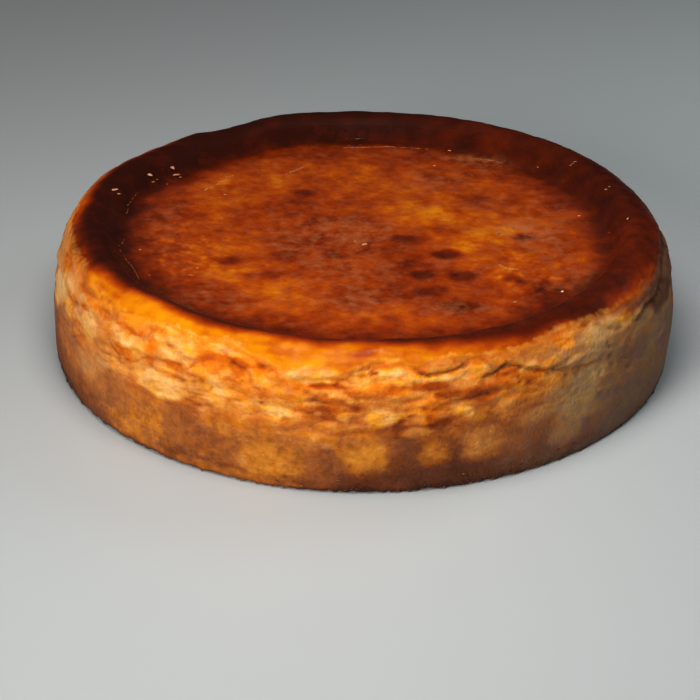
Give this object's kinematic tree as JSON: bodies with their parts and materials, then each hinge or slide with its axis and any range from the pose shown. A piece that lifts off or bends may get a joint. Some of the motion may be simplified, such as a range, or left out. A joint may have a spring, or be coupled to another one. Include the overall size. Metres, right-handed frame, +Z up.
{
  "type": "basque cheesecake",
  "caption": "Whole round uncut basque cheesecake with a burnt glossy top, a dark raised rim, a sunken middle and a mottled torn side, resting flat.",
  "frame": {"origin": "on the surface that the cake stands on, under the middle of its outline", "axes": "+Z up through the top of the cake; -Y towards its front"},
  "size_m": [0.2444, 0.243, 0.0549],
  "materials": {
    "baked_cheesecake": "baked custard: glossy dark brown on top, satin golden to brown on the side"
  },
  "bodies": {
    "root": {"cheesecake": "baked_cheesecake"}
  },
  "joints": []
}
